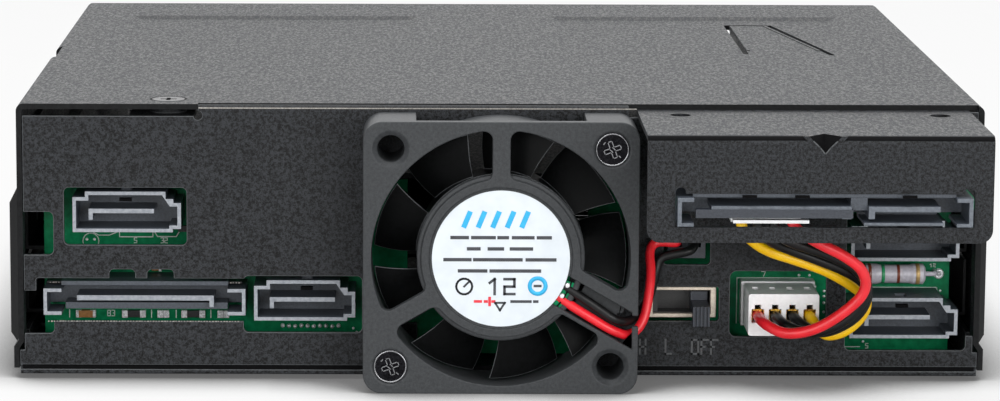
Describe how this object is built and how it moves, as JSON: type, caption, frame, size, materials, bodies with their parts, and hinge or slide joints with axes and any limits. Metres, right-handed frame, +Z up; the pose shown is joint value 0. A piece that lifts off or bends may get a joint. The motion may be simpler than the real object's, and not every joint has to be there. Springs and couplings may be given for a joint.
{
  "type": "hot swap drive cage",
  "caption": "Black steel hot swap drive cage for one half-height 5.25-inch bay, with pull-out trays for 2.5-inch drives, a slim optical drive bay, a small rear fan and a power adapter.",
  "frame": {"origin": "middle of the underside of the base, halfway between the rear wall and the front edge", "axes": "+X to the right as seen from behind, +Y from the rear wall to the tray fronts, +Z up"},
  "size_m": [0.1454, 0.1568, 0.0411],
  "materials": {
    "powder_steel": "satin",
    "black_screw": "satin",
    "zinc_steel": "satin",
    "dark_chrome": "polished",
    "board_green": "satin",
    "black_plastic": "satin",
    "white_nylon": "satin",
    "plated_frame": "satin",
    "resistor_enamel": "gloss",
    "chip_black": "satin",
    "fan_plastic": "satin",
    "ferrite": "matte",
    "polished_steel": "polished",
    "bronze": "satin",
    "copper_winding": "satin",
    "label_white": "satin",
    "wire_red": "satin",
    "wire_black": "satin",
    "wire_yellow": "satin",
    "tray_steel": "satin",
    "front_plastic": "satin",
    "latch_plastic": "satin"
  },
  "bodies": {
    "case": {"adapter_board": "board_green", "adapter_bracket": "powder_steel", "adapter_header": "white_nylon", "adapter_plug": "black_plastic", "backplane_board": "board_green", "base_tray": "powder_steel", "bay_divider": "powder_steel", "bleed_resistor": "resistor_enamel", "board_screws": "zinc_steel", "chip_parts": "chip_black", "clinch_standoffs": "powder_steel", "cover_screws": "black_screw", "data_ports": "black_plastic", "drive_sockets": "black_plastic", "fan_bearing": "bronze", "fan_board": "board_green", "fan_frame": "fan_plastic", "fan_header": "black_plastic", "fan_plug": "black_plastic", "fan_screws": "dark_chrome", "fan_wire_black": "wire_black", "fan_wire_red": "wire_red", "harness_header": "white_nylon", "harness_plug": "white_nylon", "harness_wire_black_1": "wire_black", "harness_wire_black_2": "wire_black", "harness_wire_red": "wire_red", "harness_wire_yellow": "wire_yellow", "hub_label": "label_white", "odd_shelf": "powder_steel", "power_inlet": "black_plastic", "slim_socket": "black_plastic", "stator_coil": "copper_winding", "switch_frame": "plated_frame", "switch_housing": "black_plastic", "top_cover": "powder_steel"},
    "fan_rotor": {"fan_impeller": "fan_plastic", "rotor_magnet": "ferrite", "fan_shaft": "polished_steel"},
    "switch_slider": {"switch_knob": "black_plastic"},
    "tray_1": {"tray_1_pan": "tray_steel", "tray_1_front": "front_plastic", "tray_1_pin": "polished_steel"},
    "lever_1": {"tray_1_lever": "front_plastic"},
    "latch_1": {"tray_1_latch": "latch_plastic"},
    "tray_2": {"tray_2_pan": "tray_steel", "tray_2_front": "front_plastic", "tray_2_pin": "polished_steel"},
    "lever_2": {"tray_2_lever": "front_plastic"},
    "latch_2": {"tray_2_latch": "latch_plastic"},
    "tray_3": {"tray_3_pan": "tray_steel", "tray_3_front": "front_plastic", "tray_3_pin": "polished_steel"},
    "lever_3": {"tray_3_lever": "front_plastic"},
    "latch_3": {"tray_3_latch": "latch_plastic"},
    "tray_4": {"tray_4_pan": "tray_steel", "tray_4_front": "front_plastic", "tray_4_pin": "polished_steel"},
    "lever_4": {"tray_4_lever": "front_plastic"},
    "latch_4": {"tray_4_latch": "latch_plastic"}
  },
  "joints": [
    {"name": "fan_spin", "type": "hinge", "parent": "case", "child": "fan_rotor", "pos_m": [0, -0.07, 0.0193], "axis": [0, 1, 0], "continuous": true},
    {"name": "speed_switch", "type": "slide", "parent": "case", "child": "switch_slider", "axis": [-1, 0, 0], "range_m": [0, 0.0046]},
    {"name": "tray_slide_1", "type": "slide", "parent": "case", "child": "tray_1", "axis": [0, 1, 0], "range_m": [0, 0.112]},
    {"name": "lever_hinge_1", "type": "hinge", "parent": "tray_1", "child": "lever_1", "pos_m": [-0.066, 0.0622, 0.00785], "axis": [0, 0, 1], "range_deg": [0, 75]},
    {"name": "latch_slide_1", "type": "slide", "parent": "tray_1", "child": "latch_1", "axis": [1, 0, 0], "range_m": [0, 0.001], "stiffness_N_per_m": 150},
    {"name": "tray_slide_2", "type": "slide", "parent": "case", "child": "tray_2", "axis": [0, 1, 0], "range_m": [0, 0.112]},
    {"name": "lever_hinge_2", "type": "hinge", "parent": "tray_2", "child": "lever_2", "pos_m": [-0.066, 0.0622, 0.02155], "axis": [0, 0, 1], "range_deg": [0, 75]},
    {"name": "latch_slide_2", "type": "slide", "parent": "tray_2", "child": "latch_2", "axis": [1, 0, 0], "range_m": [0, 0.001], "stiffness_N_per_m": 150},
    {"name": "tray_slide_3", "type": "slide", "parent": "case", "child": "tray_3", "axis": [0, 1, 0], "range_m": [0, 0.112]},
    {"name": "lever_hinge_3", "type": "hinge", "parent": "tray_3", "child": "lever_3", "pos_m": [0.066, 0.0622, 0.00785], "axis": [0, 0, -1], "range_deg": [0, 75]},
    {"name": "latch_slide_3", "type": "slide", "parent": "tray_3", "child": "latch_3", "axis": [-1, 0, 0], "range_m": [0, 0.001], "stiffness_N_per_m": 150},
    {"name": "tray_slide_4", "type": "slide", "parent": "case", "child": "tray_4", "axis": [0, 1, 0], "range_m": [0, 0.112]},
    {"name": "lever_hinge_4", "type": "hinge", "parent": "tray_4", "child": "lever_4", "pos_m": [0.066, 0.0622, 0.02155], "axis": [0, 0, -1], "range_deg": [0, 75]},
    {"name": "latch_slide_4", "type": "slide", "parent": "tray_4", "child": "latch_4", "axis": [-1, 0, 0], "range_m": [0, 0.001], "stiffness_N_per_m": 150}
  ]
}
